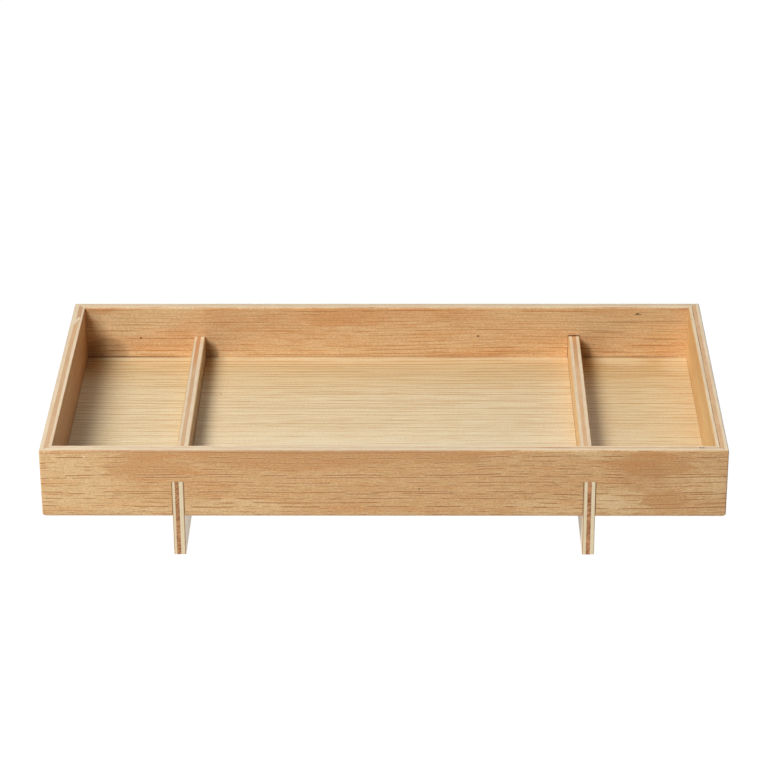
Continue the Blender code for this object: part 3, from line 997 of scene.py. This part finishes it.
class TRAY_OT_walls(Operator):
    """Build the four mitred walls from their plies."""

    bl_idname = "tray.walls"
    bl_label = "Walls"

    def execute(self, context):
        walls = {
            "front_wall": (TRAY_LENGTH, (0, FRONT_LOW.y, 0), 0),
            "back_wall": (TRAY_LENGTH, (0, -FRONT_LOW.y, 0), 180),
            "left_wall": (TRAY_DEPTH, (LEFT_LOW.x, 0, 0), -90),
            "right_wall": (TRAY_DEPTH, (-LEFT_LOW.x, 0, 0), 90),
        }
        for number, (node, (extent, foot, heading)) in enumerate(walls.items()):
            place = Matrix.Translation(foot) @ Matrix.Rotation(math.radians(heading), 4, "Z")
            pieces = make_wall(node, extent, place, WALL_LINE_SEED + number)
            finish_pieces(pieces, wall_finishes(node), node)
        return {"FINISHED"}


class TRAY_OT_floor_panels(Operator):
    """Build the three floor panels, each with its tongue and two veneers."""

    bl_idname = "tray.floor_panels"
    bl_label = "Floor Panels"

    def execute(self, context):
        for number, (node, ground) in enumerate(FLOOR_OAKS.items()):
            under_seed = FLOOR_UNDER_SEED + number
            top = (f"{node}_top_oak", "XYZ", "straight", ground, FLOOR_TOP_SEED, FLOOR_PAINTED_REFLECTION_AND_SHADE, FLOOR_MARKS)
            finishes = {
                "top_veneer": oak(*top),
                "core_ply": core_ply(f"{node}_core_ply", "XYZ", GREY_CORE, FLOOR_CORE_SEED),
                "under_veneer": oak(f"{node}_under_oak", "XYZ", "streaked", ground, under_seed),
            }
            finish_pieces(make_floor_panel(node), finishes, node)
        return {"FINISHED"}


class TRAY_OT_cross_boards(Operator):
    """Build the two cross boards that divide the tray and stand as its feet."""

    bl_idname = "tray.cross_boards"
    bl_label = "Cross Boards"

    def execute(self, context):
        for node, look in CROSS_LOOKS.items():
            seed = look["seed"]
            core = (look["core"], seed + 2, look["marks"], look["cut"])
            finishes = {"core_ply": core_ply(f"{node}_core_ply", "YZX", *core)}
            for side, veneer_seed, ply_seed in (("left", seed, seed + 1), ("right", seed + 4, seed + 3)):
                ground, foot = look[side]
                finishes[f"{side}_veneer"] = oak(
                    f"{node}_{side}_oak", "YZX", "quiet", ground, veneer_seed, foot=foot
                )
                finishes[f"{side}_ply"] = pale_ply(f"{node}_{side}_ply", "YZX", ply_seed)
            finish_pieces(make_cross_board(node, seed), finishes, node)
        return {"FINISHED"}


class TRAY_OT_stage(Operator):
    """Set the studio floor, the light and the camera round the tray."""

    bl_idname = "tray.stage"
    bl_label = "Stage"

    def execute(self, context):
        stage = context.scene.tray_stage
        self.lay_floor(stage)
        self.light_room(context.scene, stage)
        self.hang_soft_box(context.scene, stage, "key")
        self.hang_soft_box(context.scene, stage, "back")
        self.stand_camera(context.scene, stage)
        context.scene.view_settings.view_transform = "Standard"
        return {"FINISHED"}

    def seen(self, finish):
        """1 for the camera and for reflections, and 0 for the light that falls on the tray."""
        rays = [
            finish.node("LightPath", {}, {}, name)
            for name in ("Is Camera Ray", "Is Glossy Ray", "Is Transmission Ray")
        ]
        return rays[0].math("MAXIMUM", rays[1]).math("MAXIMUM", rays[2])

    def lay_floor(self, stage):
        finish = Finish(bpy.data.materials.new("studio_floor"))
        paint = (stage.floor_white, stage.floor_white, stage.floor_white, 1.0)
        matt = finish.node("BsdfDiffuse", {}, {"Color": paint})
        bright = finish.node("Emission", {}, {"Color": WHITE, "Strength": stage.floor_glow})
        glow = self.seen(finish) * (1.0 - stage.shadow - stage.bounce) + stage.bounce
        surface = finish.node("MixShader", {}, (glow, matt, bright))
        work = bmesh.new()
        bmesh.ops.create_circle(work, cap_ends=True, segments=FLOOR_STEPS, radius=stage.floor_reach)
        floor = new_piece("studio_floor", work)
        floor.data.materials.append(finish.output(surface))

    def light_room(self, scene, stage):
        scene.world = bpy.data.worlds.new("studio_room")
        finish = Finish(scene.world)
        fill = finish.node("Background", {}, {"Color": WHITE, "Strength": stage.fill})
        white = finish.node("Background", {}, {"Color": WHITE, "Strength": 1.0})
        surface = finish.node("MixShader", {}, (self.seen(finish), fill, white))
        finish.output(surface, "World")

    def hang_soft_box(self, scene, stage, name):
        lamp = bpy.data.lights.new(f"{name}_soft_box", "AREA")
        lamp.shape = "SQUARE"
        lamp.size = getattr(stage, f"{name}_side")
        lamp.energy = getattr(stage, f"{name}_watts")
        light = bpy.data.objects.new(lamp.name, lamp)
        toward = Vector(getattr(stage, f"{name}_from")).normalized()
        light.location = toward * getattr(stage, f"{name}_distance")
        light.rotation_euler = toward.to_track_quat("Z", "Y").to_euler()
        scene.collection.objects.link(light)

    def stand_camera(self, scene, stage):
        view = bpy.data.cameras.new("camera")
        view.lens = stage.lens
        view.sensor_width = stage.film_width
        view.clip_end = stage.camera_reach
        camera = bpy.data.objects.new("camera", view)
        heading = Matrix.Rotation(stage.camera_heading, 4, "Z")
        tilt = Matrix.Rotation(stage.camera_tilt, 4, "X")
        roll = Matrix.Rotation(stage.camera_roll, 4, "Z")
        camera.matrix_world = Matrix.Translation(stage.camera_at) @ heading @ tilt @ roll
        scene.collection.objects.link(camera)
        scene.camera = camera


class TRAY_PT_panel(Panel):
    """Lists the tray's sizes, finishes and build steps."""

    bl_idname = "TRAY_PT_panel"
    bl_label = "Divided Tray"
    bl_space_type = "VIEW_3D"
    bl_region_type = "UI"
    bl_category = "Tray"

    def draw(self, context):
        for group in (context.scene.tray_sizes, context.scene.tray_finish, context.scene.tray_stage):
            column = self.layout.column(align=True)
            for key in type(group).__annotations__:
                column.prop(group, key)
        for operator in OPERATORS:
            self.layout.operator(operator.bl_idname)


OPERATORS = (TRAY_OT_walls, TRAY_OT_floor_panels, TRAY_OT_cross_boards, TRAY_OT_stage)
GROUPS = {"tray_sizes": TraySizes, "tray_finish": TrayFinish, "tray_stage": TrayStage}


def register():
    for made in (*GROUPS.values(), *OPERATORS, TRAY_PT_panel):
        bpy.utils.register_class(made)
    for name, group in GROUPS.items():
        setattr(bpy.types.Scene, name, PointerProperty(type=group))


def unregister():
    for name in GROUPS:
        delattr(bpy.types.Scene, name)
    for made in (TRAY_PT_panel, *OPERATORS, *GROUPS.values()):
        bpy.utils.unregister_class(made)


def main():
    """Builds the tray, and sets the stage."""
    register()
    bpy.ops.tray.walls()
    bpy.ops.tray.floor_panels()
    bpy.ops.tray.cross_boards()
    bpy.ops.tray.stage()


if __name__ == "__main__":
    main()
